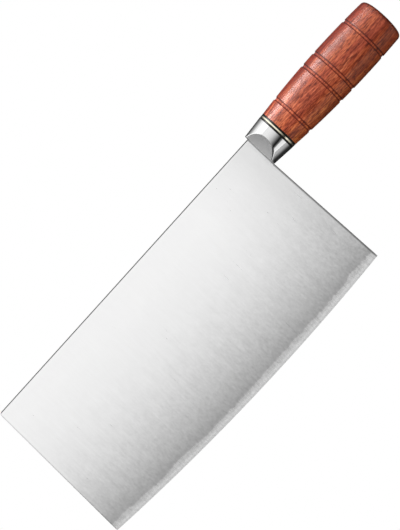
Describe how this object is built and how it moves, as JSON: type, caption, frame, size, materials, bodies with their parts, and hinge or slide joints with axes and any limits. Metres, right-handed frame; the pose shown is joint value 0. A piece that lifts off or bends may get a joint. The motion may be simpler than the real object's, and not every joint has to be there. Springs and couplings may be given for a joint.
{
  "type": "chinese cleaver",
  "caption": "Flat rectangular cleaver blade of clad steel on a tapered steel bolster, with black and brass spacer rings and a turned wooden barrel handle; for slicing and chopping.",
  "frame": {"origin": "on the handle's axis, where it meets the front face of the bolster", "axes": "+X along the handle's axis towards the butt, +Y towards the spine, +Z out of the blade's left cheek, so the knife lies on its right side with the handle's belly lowest"},
  "size_m": [0.2978, 0.1018, 0.0286],
  "materials": {
    "core_steel": "honed",
    "cladding_steel": "satin",
    "bolster_steel": "polished",
    "black_fibre": "polished",
    "brass_ring": "polished",
    "red_wood": "oiled and polished",
    "resin": "cured"
  },
  "bodies": {
    "root": {"core_layer": "core_steel", "cladding_left": "cladding_steel", "cladding_right": "cladding_steel", "bolster": "bolster_steel", "front_black_spacer": "black_fibre", "brass_spacer": "brass_ring", "rear_black_spacer": "black_fibre", "handle": "red_wood", "tang_resin": "resin"}
  },
  "joints": []
}
